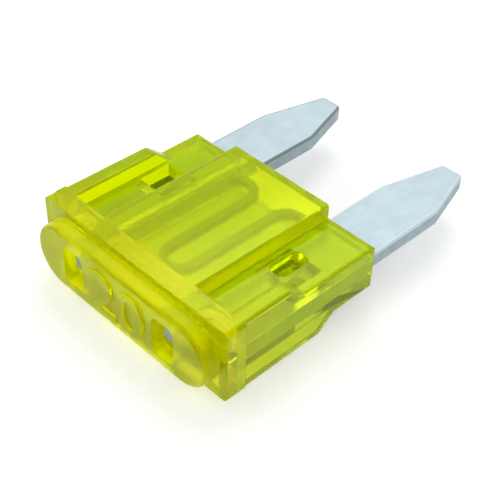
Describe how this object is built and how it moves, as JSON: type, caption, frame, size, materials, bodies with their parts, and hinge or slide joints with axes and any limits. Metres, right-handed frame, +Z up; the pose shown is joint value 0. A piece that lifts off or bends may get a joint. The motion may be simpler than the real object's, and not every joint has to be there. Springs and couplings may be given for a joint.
{
  "type": "automotive blade fuse",
  "caption": "Small plug-in automotive blade fuse: a clear yellow moulded housing over one stamped metal strip with flat blades and a fusible link.",
  "frame": {"origin": "centre of the underside's bounding rectangle, on the surface that the fuse lies on", "axes": "+X across the blades, +Y from the head towards the blade tips, +Z up, through the fuse's thickness"},
  "size_m": [0.011, 0.0162, 0.0036],
  "materials": {
    "clear_plastic": "clear yellow moulded plastic, glossy",
    "zinc": "matte pale grey zinc alloy with darker sheared edges"
  },
  "bodies": {
    "root": {"housing": "clear_plastic", "fuse_strip": "zinc"}
  },
  "joints": []
}
